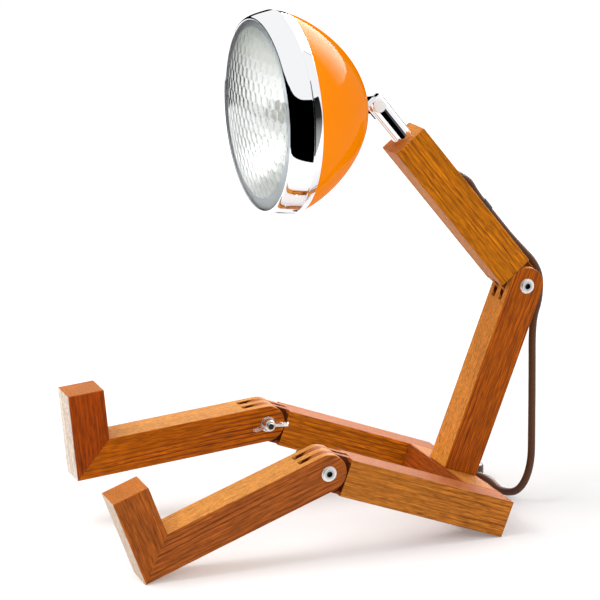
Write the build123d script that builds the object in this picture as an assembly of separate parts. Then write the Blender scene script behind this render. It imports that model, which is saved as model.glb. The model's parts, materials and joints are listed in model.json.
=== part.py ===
from build123d import *
from math import asin, atan2, cos, degrees, hypot, pi, radians, sin, sqrt, tan
import os

# A seated, jointed timber desk lamp with a headlamp for a head. It faces -Y and sits on
# the rear edge of its hips and on its left heel. Millimetres and degrees.

# Timber
section = 29.3            # square section of every timber
edge_round = 0.8          # eased edges
hip_width = 162.2
hip_block_depth = 33.3
thigh_reach = 159.2       # rear of the hips to the knee axis
shin_reach = 159.4        # knee axis to the back of the heel
foot_height = 69.5        # sole of the heel to the tip of the toe
torso_reach = 157.4       # top of the hips to the elbow axis
arm_reach = 159.2         # elbow axis to the end of the arm

# Finger hinges
finger_gap = 0.15         # side clearance of each finger
shoulder_gap = 0.5        # round finger end to the shoulder it turns past
slot_gap = 2.5            # round finger end to the bottom of its slot

# Rest pose
hip_pitch = 20.4          # the thighs rise towards the knees
right_knee_angle = 25.7
elbow_angle = 59.9
head_droop = 1.2          # the beam below the horizontal
wing_turn = 4.4           # wings of a nut above the horizontal
left_wing_turn = 0.0      # those of the left knee above its shin

# Hinge bolts, washers and wing nuts
bolt_radius = 3.0
bolt_clearance = 0.05
bolt_head_radius = 6.0
bolt_head_height = 1.8
bolt_crown_radius = 4.8
bolt_flange_height = 0.9
socket_flats = 4.0
socket_depth = 2.4
bolt_tip = 1.6            # thread that shows past the nut
bolt_tip_bevel = 0.6
bolt_head_round = 0.4
washer_radius = 6.2
washer_thickness = 1.0
washer_round = 0.3
nut_radius = 5.4
nut_top_radius = 4.4
nut_height = 5.6
nut_round = 0.7
wing_span = 30.5
wing_start = 1.2          # washer to the near side of a wing
wing_rise = 10.0          # washer to the tip of a wing
wing_tip = 3.2            # length of the end of a wing
wing_foot = 6.9           # nut's middle to where a wing begins to flare
wing_hollow = 5.2         # dip between the hub and the tip, back from the tip
wing_thickness = 2.4
wing_round = 0.6

# Joinery
dowel_radius = 4.0
dowel_length = 36.0
dowel_spacing = 16.0
joinery_clearance = 0.05
heel_key_length = 22.0
heel_key_width = 16.0
heel_key_thickness = 4.0
frame_screw_radius = 2.5
frame_screw_length = 62.0
frame_screw_head_radius = 5.0
frame_screw_head_height = 3.0
counterbore_depth = 6.0
counterbore_clearance = 0.5
screw_hole_spare = 1.0    # beyond the end of the screw

# Neck
neck_radius = 8.0
neck_wall = 2.0
neck_visible = 41.0       # end of the arm to the end of the tube
neck_buried = 25.0
neck_clearance = 0.05
neck_edge = 0.6           # bevel at the end of the tube
neck_slot_depth = 13.3
neck_web = 4.0            # metal between the slot and the bore
wire_hole_radius = 2.2
head_pivot_reach = 35.6   # end of the arm to the head's pivot
grub_radius = 2.5
grub_setback = 12.0       # end of the arm to the grub screw
grub_recess = 0.6         # below the back of the arm
grub_bevel = 0.4
grub_socket_flats = 2.5
grub_socket_depth = 2.0

# Knuckle
tongue_thickness = 5.0
tongue_radius = 6.2
tongue_clearance = 0.1
tongue_back_gap = 0.3
pin_radius = 2.0
pin_clearance = 0.05
pin_cap_radius = 5.2
pin_cap_height = 2.4
pin_cap_round = 1.2
pin_cap_clearance = 0.1
spot_face = 6.2           # pivot to the flat under a cap
saddle_radius = 9.0
saddle_setback = 10.2     # pivot to the flat back of the saddle
stud_radius = 4.0
stud_length = 9.0         # beyond the back of the bowl
stud_clearance = 0.05
stud_nut_flats = 13.0
stud_nut_height = 4.0
stud_washer_radius = 9.0
stud_washer_thickness = 1.2

# Headlamp, measured back from the front plane of its rim
head_reach = 96.8         # front plane to the pivot
opening_radius = 71.2
rim_radius = 77.7
rim_crest = 16.4          # depth of the widest place, where the front band ends
rim_depth = 24.3
rim_rear_radius = 75.8
rim_thickness = 1.0
rim_front_curve = [(0.7, 0), (2.4, 1.8), (4.9, 8.2)]    # beyond the opening, and depth
rim_inside_curve = [(3.9, 8.5), (1.9, 2.8)]
rim_lip_bevel = 0.5
groove_depth = 0.8
groove_width = 1.4
groove_shoulder = 0.35    # the rear band starts that much inside the front band
bowl_radius = 75.3
bowl_depth = 61.4
bowl_fullness = 1.28      # power of the bowl's curve
bowl_thickness = 1.2
bowl_lip = 6.0            # length of the lip that the rim grips
lip_clearance = 0.1
lens_thickness = 3.5
lens_rise = 6.5           # how far the glass domes out of the opening
lens_border = 1.0         # flat edge of the glass under the rim's lip
lens_clearance = 0.3      # between the dome and the rim's lip
stack_gap = 0.05          # between the rings that are stacked in the rim
flange_border = 2.3       # gasket and reflector flange beyond the opening
flange_width = 4.5
gasket_thickness = 1.4
reflector_focus = 26.0
reflector_flange = 1.0
reflector_wall = 1.6      # along the axis
reflector_throat = 13.0
ring_wire_radius = 1.0
ring_spread = 0.2         # its wire's middle beyond the flange
holder_clearance = 0.2
holder_length = 24.0
holder_front = 7.0        # part of the holder inside the reflector
holder_collar_radius = 16.0
holder_collar = 2.0
holder_round = 2.0
bulb_radius = 8.0
bulb_length = 32.0
bulb_stem_radius = 4.5
bulb_stem_length = 6.0
bulb_clearance = 0.1
bulb_socket_spare = 0.5
bulb_tip_round = 7.6
bulb_neck_round = 1.5

# Cord and its clip
cord_radius = 3.0
cord_hole_radius = 3.8
cord_hole_slope = 29.0    # the hole to the back face of the arm
cord_exit_reach = 109.4   # elbow axis to the hole
clip_reach = 67.4         # elbow axis to the clip
clip_offset = -3.0
clip_width = 9.0
clip_thickness = 0.7
clip_clearance = 0.15
clip_foot = 6.5
clip_screw_radius = 1.3
clip_screw_head_radius = 2.4
clip_screw_head_height = 1.0
clip_screw_round = 0.6
clip_screw_length = 9.0

# The free cord's own points, in the lamp's frame
cord_points = [
    (0, 92.9, 283.1),     # inside the hole in the arm
    (0, 125.8, 270.1),
    (-3, 135.1, 255.1),   # under the clip
    (-3, 153.8, 232.5),
    (-2, 171.5, 216.8),
    (0, 193.0, 189.8),    # round the back of the elbow
    (0, 192.2, 165.7),
    (1, 186.0, 148.0),
    (8, 184.7, 106.8),
    (17, 180.7, 65.5),
    (23, 177.7, 36.0),    # down to the floor
    (13.5, 176.4, 14.0),
    (-6, 172.0, 3.0),
    (-29.7, 165.58, 7.0),
    (-45, 160.9, 7.0),    # into the switch
]

# In-line switch
switch_x = -45.0
switch_y = 160.9
switch_heading = 17.0     # from -X towards -Y
switch_length = 62.0
switch_width = 24.0
switch_height = 14.0
switch_corner = 8.0
switch_round = 2.5
switch_base_round = 1.0
rocker_length = 20.0
rocker_width = 9.0
rocker_rise = 5.6         # pivot to the middle of its top
rocker_drop = 2.4         # pivot to the middle of its underside
rocker_tilt = 12.0
rocker_gap = 0.9          # at its ends
rocker_side_gap = 0.4
rocker_edge_round = 0.6
rocker_pivot_height = 10.0
trunnion_radius = 1.0
trunnion_length = 1.2
trunnion_clearance = 0.05
switch_screw_radius = 1.3
switch_screw_head_radius = 2.5
switch_screw_head_height = 1.5
switch_screw_length = 8.0
switch_screw_inset = 8.0
switch_screw_recess = 0.2 # width of the ring of air round a head

# Coil of the put-away cord, and its plug
coil_lead = 52.0          # switch to the coil's outer turn
coil_turns_bottom = 4
coil_inner_turn = 25.0    # radius of the innermost turn
coil_top_turn = 34.0      # radius of the turn that leaves for the plug
coil_height = 11.2
coil_round = 2.7
coil_stub = 26.0
lead_run = 12.0
tail_turn = 23.0          # heading of the tail from that of the switch
tail_stub = 36.0
tail_height = 9.3
tail_run = 12.0
plug_height = 14.0
plug_width = 35.0
plug_rear_width = 16.0
plug_length = 34.0
plug_straight = 12.0
plug_round = 3.0
plug_shoulder_round = 6.0
plug_relief_length = 20.0
plug_relief_radius = 5.6
plug_relief_wall = 0.8    # at its cord end
plug_relief_root = 4.0    # inside the moulding
plug_pin_radius = 2.0
plug_pin_length = 19.0
plug_pin_spacing = 19.0
plug_pin_round = 1.2
plug_shank_radius = 1.5   # the part of a pin inside the moulding
plug_shank_length = 10.0

half = section / 2
finger = section / 5
leg_x = hip_width / 2 - half
bore_radius = bolt_radius + bolt_clearance
nut_face = -half - washer_thickness
slot_half = tongue_thickness / 2 + tongue_clearance


def limb(y, z, pitch):
    """A place whose -Y axis runs up at the pitch and whose X axis stays level."""
    return Location((0, y, z), (-pitch, 0, 0))


def along(y, z, pitch, reach, rise=0.0):
    """The Y and Z at a reach along a limb and a rise above its middle line."""
    p = radians(pitch)
    return y - reach * cos(p) + rise * sin(p), z + reach * sin(p) + rise * cos(p)


# The rest pose, worked out from the hips to the head and to the heels
knee_y, knee_z = along(0, 0, hip_pitch, thigh_reach, half)
edge_rise = edge_round * (sin(radians(hip_pitch)) + cos(radians(hip_pitch)) - 1)
heel_span = hypot(shin_reach, half)
heel_drop = degrees(asin((knee_z - edge_rise) / heel_span))
left_shin_pitch = degrees(atan2(half, shin_reach)) - heel_drop
right_shin_pitch = hip_pitch - right_knee_angle
elbow_y, elbow_z = along(0, 0, hip_pitch, hip_block_depth / 2, section + torso_reach)
torso_pitch = hip_pitch - 90
arm_pitch = hip_pitch + 90 - elbow_angle
pivot_y, pivot_z = along(elbow_y, elbow_z, arm_pitch, arm_reach + head_pivot_reach)

hips = limb(0, 0, hip_pitch)
torso_place = limb(elbow_y, elbow_z, torso_pitch)
arm_place = limb(elbow_y, elbow_z, arm_pitch)
neck_place = limb(pivot_y, pivot_z, arm_pitch)
head_place = limb(pivot_y, pivot_z, -head_droop)


def block(x, y, z):
    """A box between pairs of X, Y and Z."""
    size = Box(x[1] - x[0], y[1] - y[0], z[1] - z[0])
    return Pos(sum(x) / 2, sum(y) / 2, sum(z) / 2) * size


def rod_x(radius, x0, x1):
    return Pos((x0 + x1) / 2, 0, 0) * Rot(0, 90, 0) * Cylinder(radius, x1 - x0)


def rod_y(radius, y0, y1):
    return Pos(0, (y0 + y1) / 2, 0) * Rot(90, 0, 0) * Cylinder(radius, y1 - y0)


def rod_z(radius, z0, z1):
    return Pos(0, 0, (z0 + z1) / 2) * Cylinder(radius, z1 - z0)


def prism(outline, width=section):
    """An outline in Y and Z, carried level to both sides of X = 0."""
    return extrude(Plane.YZ * outline, width / 2, both=True)


def eased(timber, *sharp):
    """The timber with its edges eased, but for slanted ones and level ones at the listed Y and Z."""
    def soft(edge):
        course, middle = edge % 0.5, edge @ 0.5
        if abs(course.X) > 0.99:
            return all(hypot(middle.Y - y, middle.Z - z) > 0.1 for y, z in sharp)
        straight = max(abs(course.Y), abs(course.Z)) > 0.99
        return straight or edge.geom_type == GeomType.CIRCLE
    return fillet(timber.edges().filter_by(soft), edge_round)


def limb_timber(reach):
    """A timber with a round end about the joint axis and a square end."""
    outline = Circle(half) + Pos(-reach / 2, 0) * Rectangle(reach, section)
    return eased(prism(outline), (0, half), (0, -half))


def forked(timber):
    """Three fingers: the outer two and the middle one stay."""
    for side in (-1, 1):
        slot = sorted((side * finger / 2, side * finger * 1.5))
        timber -= block(slot, (-half - slot_gap, section), (-section, section))
    return timber - rod_x(bore_radius, -section, section)


def tongued(timber):
    """Two fingers, with shoulders outside them and a deeper slot between them."""
    inner, outer = finger / 2 + finger_gap, finger * 1.5 - finger_gap
    timber -= block((-inner, inner), (-half - slot_gap, section), (-section, section))
    for side in (-1, 1):
        cut = sorted((side * outer, side * section))
        timber -= block(cut, (-half - shoulder_gap, section), (-section, section))
    return timber - rod_x(bore_radius, -section, section)


# Hips
def dowels(clearance=0.0):
    """Two dowels at each end of the cross rail, in the hips' own place."""
    one = rod_x(dowel_radius + clearance, -dowel_length / 2, dowel_length / 2)
    middle = -hip_block_depth / 2
    places = [(side * (leg_x - half), middle + way * dowel_spacing / 2)
              for side in (-1, 1) for way in (-1, 1)]
    return Compound(children=[Pos(x, y, half) * one for x, y in places])


def frame_screw():
    """The long screw up through the cross rail into the torso."""
    head_top = counterbore_depth
    head = rod_z(frame_screw_head_radius, head_top - frame_screw_head_height, head_top)
    shank = rod_z(frame_screw_radius, head_top, head_top + frame_screw_length)
    socket = extrude(RegularPolygon(socket_flats / 2, 6, major_radius=False), socket_depth)
    screw = head + shank - Pos(0, 0, head_top - frame_screw_head_height) * socket
    return Pos(0, -hip_block_depth / 2, 0) * screw


def hip_block():
    width = 2 * (leg_x - half)
    rail = block((-width / 2, width / 2), (-hip_block_depth, 0), (0, section))
    rail = fillet(rail.edges().filter_by(Axis.X), edge_round)
    rail -= dowels(joinery_clearance)
    shank = rod_z(frame_screw_radius + joinery_clearance, 0, section)
    mouth = rod_z(frame_screw_head_radius + counterbore_clearance, 0, counterbore_depth)
    return rail - Pos(0, -hip_block_depth / 2, 0) * (shank + mouth)


def thigh(side):
    """Modelled from the knee axis backwards, then turned to run up from the hips."""
    timber = Rot(0, 0, 180) * tongued(limb_timber(thigh_reach))
    timber = Pos(side * leg_x, -thigh_reach, half) * timber
    return timber - dowels(joinery_clearance)


def torso():
    timber = forked(limb_timber(torso_reach))
    hole = frame_screw_length + counterbore_depth - section + screw_hole_spare
    return timber - rod_y(frame_screw_radius + joinery_clearance, -torso_reach, hole - torso_reach)


# Legs
def heel_key(clearance=0.0):
    """A loose tenon square to the mitre at the heel."""
    size = Box(heel_key_width + 2 * clearance, heel_key_length + 2 * clearance,
               heel_key_thickness + 2 * clearance)
    return Pos(0, half - shin_reach, 0) * Rot(-45, 0, 0) * size


def shin():
    inner = section - shin_reach
    outline = Circle(half) + Polygon((0, -half), (0, half), (inner, half), (-shin_reach, -half),
                                     align=None)
    corners = [(0, half), (0, -half), (inner, half), (-shin_reach, -half)]
    return forked(eased(prism(outline), *corners)) - heel_key(joinery_clearance)


def foot():
    inner, toe = section - shin_reach, foot_height - half
    outline = Polygon((-shin_reach, -half), (inner, half), (inner, toe), (-shin_reach, toe),
                      align=None)
    timber = eased(prism(outline), (inner, half), (-shin_reach, -half))
    return timber - heel_key(joinery_clearance)


# Hinge hardware, built along X with the bolt's head at +X
def hinge_bolt():
    """Its head is a flange with a raised crown."""
    end = nut_face - nut_height - bolt_tip
    shank = rod_x(bolt_radius, end, half)
    shank = chamfer(shank.edges().group_by(Axis.X)[0], bolt_tip_bevel)
    head = rod_x(bolt_head_radius, half, half + bolt_flange_height)
    head = fillet(head.edges().group_by(Axis.X)[-1], bolt_head_round)
    crown = rod_x(bolt_crown_radius, half, half + bolt_head_height)
    crown = fillet(crown.edges().group_by(Axis.X)[-1], bolt_head_round)
    socket = extrude(Plane.YZ * RegularPolygon(socket_flats / 2, 6, major_radius=False), section)
    return shank + head + crown - Pos(half + bolt_head_height - socket_depth, 0, 0) * socket


def hinge_washer():
    ring = rod_x(washer_radius, nut_face, -half)
    ring = fillet(ring.edges().group_by(Axis.X)[0], washer_round)
    return ring - rod_x(bore_radius, -section, section)


def wing_nut():
    """A tapered hub with two wings that flare out and up."""
    hub = Rot(0, -90, 0) * Cone(nut_radius, nut_top_radius, nut_height)
    hub = Pos(nut_face - nut_height / 2, 0, 0) * hub
    hub = fillet(hub.edges().group_by(Axis.X)[0], nut_round)
    tip, root = wing_span / 2, bolt_radius
    low, high = nut_face - wing_start, nut_face - wing_rise
    wing = Polygon((low, root), (low, wing_foot), (high + wing_tip, tip), (high, tip - wing_tip / 2),
                   (high + wing_start, tip - wing_hollow), (nut_face - nut_height + wing_round, root),
                   align=None)
    wing = fillet(wing.vertices().group_by(Axis.Y)[-1], wing_round)
    wing = extrude(wing, wing_thickness / 2, both=True)
    wing = fillet(wing.edges().filter_by(Plane.XY).group_by(Axis.Y)[-1], wing_round)
    nut = hub + wing + Rot(180, 0, 0) * wing
    return nut - rod_x(bore_radius, -section, section)


# Neck
def upper_arm():
    timber = tongued(limb_timber(arm_reach))
    timber -= rod_y(neck_radius + neck_clearance, -arm_reach - 1, neck_buried - arm_reach)
    bore_end = arm_reach - neck_buried + neck_radius / 2
    hole = rod_z(cord_hole_radius, (cord_exit_reach - bore_end) / cos(radians(cord_hole_slope)), half)
    timber -= Pos(0, -cord_exit_reach, half) * Rot(cord_hole_slope - 90, 0, 0) * hole
    timber -= Pos(0, grub_setback - arm_reach, 0) * rod_z(grub_radius, 0, section)
    for screw in clip_screw_places():
        timber -= screw * rod_z(clip_screw_radius, -clip_screw_length, 1)
    return timber


def grub_screw():
    """Bears on the neck from the back of the arm."""
    top = half - grub_recess
    screw = rod_z(grub_radius, neck_radius + neck_clearance, top)
    screw = chamfer(screw.edges().group_by(Axis.Z)[-1], grub_bevel)
    socket = extrude(RegularPolygon(grub_socket_flats / 2, 6, major_radius=False), section)
    screw -= Pos(0, 0, top - grub_socket_depth) * socket
    return Pos(0, grub_setback - arm_reach, 0) * screw


def neck_tube():
    """Its middle is the head's pivot; the tube runs back along +Y into the arm."""
    end = head_pivot_reach - neck_visible
    bottom = head_pivot_reach + neck_buried
    slot_bottom = end + neck_slot_depth
    tube = rod_y(neck_radius, end, bottom)
    tube = chamfer(tube.edges().filter_by(GeomType.CIRCLE), neck_edge)
    tube -= rod_y(neck_radius - neck_wall, slot_bottom + neck_web, bottom)
    tube -= rod_y(wire_hole_radius, 0, bottom)
    back = tongue_radius + tongue_back_gap
    tube -= block((-slot_half, slot_half), (end - 1, slot_bottom), (-section, back))
    for side in (-1, 1):
        tube -= rod_x(pin_cap_radius + pin_cap_clearance, *sorted((side * spot_face, side * section)))
    return tube - rod_x(pin_radius, -section, section)


def head_pin():
    """Cross pin through the ears of the neck, with a domed cap on each spot face."""
    cap = rod_x(pin_cap_radius, spot_face, spot_face + pin_cap_height)
    cap = fillet(cap.edges().group_by(Axis.X)[-1], pin_cap_round)
    return rod_x(pin_radius, -spot_face, spot_face) + cap + Rot(0, 180, 0) * cap


# Headlamp, revolved about Y with its front plane at -head_reach
def turned(outline):
    return revolve(Pos(0, -head_reach) * outline, Axis.Y)


def bowl_curve(radius, depth, steps=10):
    """From the rim back to the pole: (r / R) ** 2 + (s / D) ** fullness = 1."""
    points = []
    for step in range(steps + 1):
        turn = pi / 2 * step / steps
        points.append((radius * cos(turn), rim_depth + depth * sin(turn) ** (2 / bowl_fullness)))
    return Spline(points, tangents=[(0, 1), (-1, 0)])


def bowl_form():
    """The solid form whose surface is the outside of the bowl."""
    curve = bowl_curve(bowl_radius, bowl_depth)
    outline = curve + Polyline(curve @ 1, (0, rim_depth), curve @ 0)
    return turned(make_face(outline))


def head_bowl():
    outer = bowl_curve(bowl_radius, bowl_depth)
    inner = bowl_curve(bowl_radius - bowl_thickness, bowl_depth - bowl_thickness)
    lip_radius = rim_rear_radius - rim_thickness - lip_clearance
    front = rim_depth - bowl_lip
    lip = Polyline(outer @ 0, (lip_radius, rim_depth), (lip_radius, front),
                   (lip_radius - bowl_thickness, front),
                   (lip_radius - bowl_thickness, rim_depth), inner @ 0)
    outline = outer + lip + inner + Line(inner @ 1, outer @ 1)
    return turned(make_face(outline)) - rod_y(stud_radius + stud_clearance, -head_reach, 0)


def head_rim():
    """A sheet ring: a lip over the glass, a rounded front band, a groove and a tapered rear band."""
    t, shoulder = rim_thickness, rim_radius - groove_shoulder
    valley = rim_crest + groove_width / 2
    crest = rim_crest + groove_width
    front = Spline(*[(opening_radius + r, d) for r, d in rim_front_curve], (rim_radius, rim_crest))
    outer = Polyline(front @ 1, (rim_radius - groove_depth, valley), (shoulder, crest),
                     (rim_rear_radius, rim_depth), (rim_rear_radius - t, rim_depth),
                     (shoulder - t, crest), (rim_radius - groove_depth - t, valley),
                     (rim_radius - t, rim_crest - t / 2))
    inside = Spline(outer @ 1, *[(opening_radius + r, d) for r, d in rim_inside_curve],
                    (opening_radius + t, t))
    lip = Polyline(inside @ 1, (opening_radius, t), (opening_radius, rim_lip_bevel), front @ 0)
    return turned(make_face(front + outer + inside + lip))


def dome(radius, edge, top):
    """An arc from the edge at one depth to the pole at another."""
    sag = edge - top
    sphere = (radius ** 2 + sag ** 2) / (2 * sag)
    turn = asin(radius / sphere) / 2
    middle = (sphere * sin(turn), top + sphere * (1 - cos(turn)))
    return ThreePointArc((radius, edge), middle, (0, top))


lens_front = rim_thickness + stack_gap
lens_back = lens_front + lens_thickness
gasket_front = lens_back + stack_gap
flange_front = gasket_front + gasket_thickness + stack_gap
flange_back = flange_front + reflector_flange
flange_radius = opening_radius + flange_border
dish_radius = flange_radius - flange_width
dish_pole = flange_front + dish_radius ** 2 / (4 * reflector_focus)
pole = rim_depth + bowl_depth - head_reach


def head_lens():
    edge = opening_radius + lens_border
    outer = dome(opening_radius - lens_clearance, lens_front, -lens_rise)
    inner = dome(dish_radius, lens_back, lens_thickness - lens_rise)
    rim = Polyline(outer @ 0, (edge, lens_front), (edge, lens_back), inner @ 0)
    return turned(make_face(outer + rim + inner + Line(inner @ 1, outer @ 1)))


def lens_gasket():
    ring = Pos(flange_radius - flange_width / 2, gasket_front + gasket_thickness / 2)
    return turned(ring * Rectangle(flange_width, gasket_thickness))


def parabola(shift):
    """The dish from its flange to its throat, shifted back."""
    def depth(a, b):
        return dish_pole + shift - a * b / (4 * reflector_focus)
    a, b = dish_radius, reflector_throat
    return Bezier((a, depth(a, a)), ((a + b) / 2, depth(a, b)), (b, depth(b, b)))


def reflector():
    """A paraboloid dish with a flat flange."""
    inner, outer = parabola(0), parabola(reflector_wall)
    flange = Polyline(inner @ 0, (flange_radius, flange_front), (flange_radius, flange_back),
                      (dish_radius, flange_back), outer @ 0)
    return turned(make_face(inner + flange + outer + Line(inner @ 1, outer @ 1)))


def retaining_ring():
    place = Pos(flange_radius + ring_spread, flange_back + stack_gap + ring_wire_radius)
    return turned(place * Circle(ring_wire_radius))


def lamp_holder():
    start = dish_pole - holder_front - head_reach
    body = rod_y(reflector_throat - holder_clearance, start, start + holder_length)
    collar = dish_pole + reflector_wall - head_reach
    body += rod_y(holder_collar_radius, collar, collar + holder_collar)
    body = fillet(body.edges().group_by(Axis.Y)[-1], holder_round)
    socket_end = start + bulb_stem_length + bulb_socket_spare
    return body - rod_y(bulb_stem_radius + bulb_clearance, start - section, socket_end)


def bulb():
    base = dish_pole - holder_front - head_reach
    glass = rod_y(bulb_radius, base - bulb_length, base)
    glass = fillet(glass.edges().group_by(Axis.Y)[0], bulb_tip_round)
    glass = fillet(glass.edges().group_by(Axis.Y)[-1], bulb_neck_round)
    return glass + rod_y(bulb_stem_radius, base, base + bulb_stem_length)


def knuckle():
    """Tongue, saddle against the bowl, and the stud through it."""
    tongue = Circle(tongue_radius) + Pos(pole / 2, 0) * Rectangle(-pole, 2 * tongue_radius)
    body = prism(tongue, tongue_thickness)
    body += rod_y(saddle_radius, pole - saddle_radius, -saddle_setback)
    body -= bowl_form()
    body += rod_y(stud_radius, pole - stud_length, -saddle_setback)
    return body - rod_x(pin_radius + pin_clearance, -section, section)


def washer_face():
    """Where the washer's edge meets the inside of the bowl, on the curve of the bowl."""
    share = 1 - (stud_washer_radius / (bowl_radius - bowl_thickness)) ** 2
    depth = (bowl_depth - bowl_thickness) * share ** (1 / bowl_fullness)
    return rim_depth + depth - stack_gap - head_reach


def stud_washer():
    ring = rod_y(stud_washer_radius, washer_face() - stud_washer_thickness, washer_face())
    return ring - rod_y(stud_radius + stud_clearance, -head_reach, 0)


def stud_nut():
    face = washer_face() - stud_washer_thickness
    hexagon = RegularPolygon(stud_nut_flats / 2, 6, major_radius=False)
    nut = Pos(0, face, 0) * Rot(90, 0, 0) * extrude(hexagon, stud_nut_height)
    return nut - rod_y(stud_radius + stud_clearance, -head_reach, 0)


# Clip on the back of the arm
def clip_screw_places():
    reach = cord_radius + clip_clearance + clip_thickness + clip_foot / 2
    return [Pos(clip_offset + side * reach, -clip_reach, half) for side in (-1, 1)]


def cord_clip():
    """A saddle over the cord with two feet."""
    inner = cord_radius + clip_clearance
    outer = inner + clip_thickness
    rise = inner
    arch = Circle(outer) + Pos(0, -rise / 2) * Rectangle(2 * outer, rise)
    arch -= Circle(inner) + Pos(0, -rise) * Rectangle(2 * inner, 2 * rise)
    arch -= Pos(0, -rise - outer) * Rectangle(4 * outer, 2 * outer)
    foot_x = (inner + outer + clip_foot) / 2
    foot_length = outer + clip_foot - inner
    for side in (-1, 1):
        arch += Pos(side * foot_x, clip_thickness / 2 - rise) * Rectangle(foot_length, clip_thickness)
    saddle = extrude(Plane.XZ * arch, clip_width / 2, both=True)
    saddle = Pos(clip_offset, -clip_reach, half + rise) * saddle
    for screw in clip_screw_places():
        saddle -= screw * rod_z(clip_screw_radius, -1, section)
    return saddle


def clip_screws():
    head = rod_z(clip_screw_head_radius, clip_thickness, clip_thickness + clip_screw_head_height)
    head = fillet(head.edges().group_by(Axis.Z)[-1], clip_screw_round)
    screw = head + rod_z(clip_screw_radius, -clip_screw_length, clip_thickness)
    return Compound(children=[place * screw for place in clip_screw_places()])


# Free cord
def turn_between(before, corner, after):
    return (corner - before).get_angle(after - corner)


def bend_radii(points):
    """Each arc takes 0.45 of the shorter run beside its corner."""
    radii = []
    for before, corner, after in zip(points, points[1:], points[2:]):
        shorter = min((corner - before).length, (after - corner).length)
        radii.append(0.45 * shorter / tan(radians(turn_between(before, corner, after)) / 2))
    return radii


def tube(points, radii):
    """A round cord along straight runs joined by tangent arcs."""
    path = FilletPolyline(*points, radius=radii)
    cord = sweep(Plane(origin=path @ 0, z_dir=path % 0) * Circle(cord_radius), path=path)
    share = cord.volume / (pi * cord_radius ** 2 * path.length)
    print(f"cord {path.length:.1f} mm, radii {[round(r) for r in radii]}, volume {share:.4f} of its own")
    return cord


def cut_tubes(points, *corners):
    """The cord's tube in stretches, cut in the middle of the run after each listed corner."""
    points = [Vector(*point) for point in points]
    radii = bend_radii(points)
    tubes, start, first = [], points[0], 1
    for last in list(corners) + [None]:
        end = points[-1] if last is None else (points[last] + points[last + 1]) / 2
        stop = len(points) - 1 if last is None else last + 1
        tubes.append(tube([start, *points[first:stop], end], radii[first - 1:stop - 1]))
        start, first = end, stop
    return tubes


lead_place = Location((switch_x, switch_y, 0), (0, 0, switch_heading))
coil_outer_turn = coil_inner_turn + 2 * cord_radius * (coil_turns_bottom - 1)
coil_place = lead_place * Pos(-switch_length - coil_lead, -coil_outer_turn, 0)
tail_place = coil_place * Rot(0, 0, tail_turn) * Pos(0, coil_top_turn, 0)
cord_height = switch_height / 2
lead_slope = Vector(lead_run - coil_lead, 0, cord_radius - cord_height).normalized()
lead_touch = Vector(-switch_length - coil_lead, 0, cord_radius)
lead_end = lead_touch - lead_slope * coil_stub


def cord_lead():
    """From the switch to the coil's outer turn."""
    points = [Vector(-switch_length, 0, cord_height),
              Vector(-switch_length - lead_run, 0, cord_height), lead_end]
    return tube(points, bend_radii(points))


def cord_tail():
    """From the coil down to the plug."""
    x, points = -tail_stub, []
    for step, height in enumerate((tail_height, tail_height, plug_height / 2, plug_height / 2)):
        points.append(Vector(x - step * tail_run, 0, height))
    return tube(points, bend_radii(points))


def cord_coil():
    """The turns as one ring, with a straight stub where the cord comes in and where it leaves."""
    inner, outer = coil_inner_turn - cord_radius, coil_outer_turn + cord_radius
    ring = rod_z(outer, 0, coil_height) - rod_z(inner, 0, coil_height)
    ring = fillet(ring.edges().filter_by(GeomType.CIRCLE), coil_round)
    stub = Plane(origin=lead_touch, z_dir=-lead_slope) * Circle(cord_radius)
    entry = extrude(stub, coil_stub)
    tail = Pos(0, 0, tail_height) * Rot(0, -90, 0) * rod_z(cord_radius, 0, tail_stub)
    return coil_place * ring + lead_place * entry + tail_place * tail


# Switch, with the cord running along its own -X
def switch_block(z0, z1):
    outline = RectangleRounded(switch_length, switch_width, switch_corner)
    return Pos(-switch_length / 2, 0, z0) * extrude(outline, z1 - z0)


def switch_screws(clearance=0.0, recess=0.0):
    """Two screws from below; with clearances, their holes."""
    top = switch_screw_head_height
    screw = rod_z(switch_screw_head_radius + recess, 0, top)
    screw += rod_z(switch_screw_radius + clearance, top, top + switch_screw_length)
    ends = (-switch_screw_inset, switch_screw_inset - switch_length)
    return [Pos(x, 0, 0) * screw for x in ends]


def switch_base():
    base = switch_block(0, switch_height / 2)
    base = fillet(base.edges().group_by(Axis.Z)[0], switch_base_round)
    return base - Compound(children=switch_screws(joinery_clearance, switch_screw_recess))


def switch_cover():
    """It holds the rocker's trunnions in two blind sockets."""
    cover = switch_block(switch_height / 2, switch_height)
    cover = fillet(cover.edges().group_by(Axis.Z)[-1], switch_round)
    mouth = block((-rocker_length / 2 - rocker_gap, rocker_length / 2 + rocker_gap),
                  (-rocker_width / 2 - rocker_side_gap, rocker_width / 2 + rocker_side_gap),
                  (0, switch_height + 1))
    reach = rocker_width / 2 + trunnion_length + trunnion_clearance
    sockets = Pos(0, 0, rocker_pivot_height) * rod_y(trunnion_radius + trunnion_clearance, -reach, reach)
    cover -= Pos(-switch_length / 2, 0, 0) * (mouth + sockets)
    return cover - Compound(children=switch_screws(joinery_clearance, switch_screw_recess))


def switch_rocker():
    """A shallow V above and below its pivot, pressed down at the plug's end."""
    end, slope = rocker_length / 2, tan(radians(rocker_tilt))
    low = rocker_rise - end * slope
    shoulder = low + end * slope / 2
    outline = Polygon((-end, shoulder), (0, low), (end, shoulder), (end, 0), (0, -rocker_drop),
                      (-end, 0), align=None)
    rocker = extrude(Plane.XZ * outline, rocker_width / 2, both=True)
    rocker = fillet(rocker.edges().filter_by(Axis.Y).group_by(Axis.Z)[-1], rocker_edge_round)
    reach = rocker_width / 2 + trunnion_length
    rocker += rod_y(trunnion_radius, -reach, reach)
    return Pos(-switch_length / 2, 0, rocker_pivot_height) * Rot(0, -rocker_tilt / 2, 0) * rocker


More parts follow.
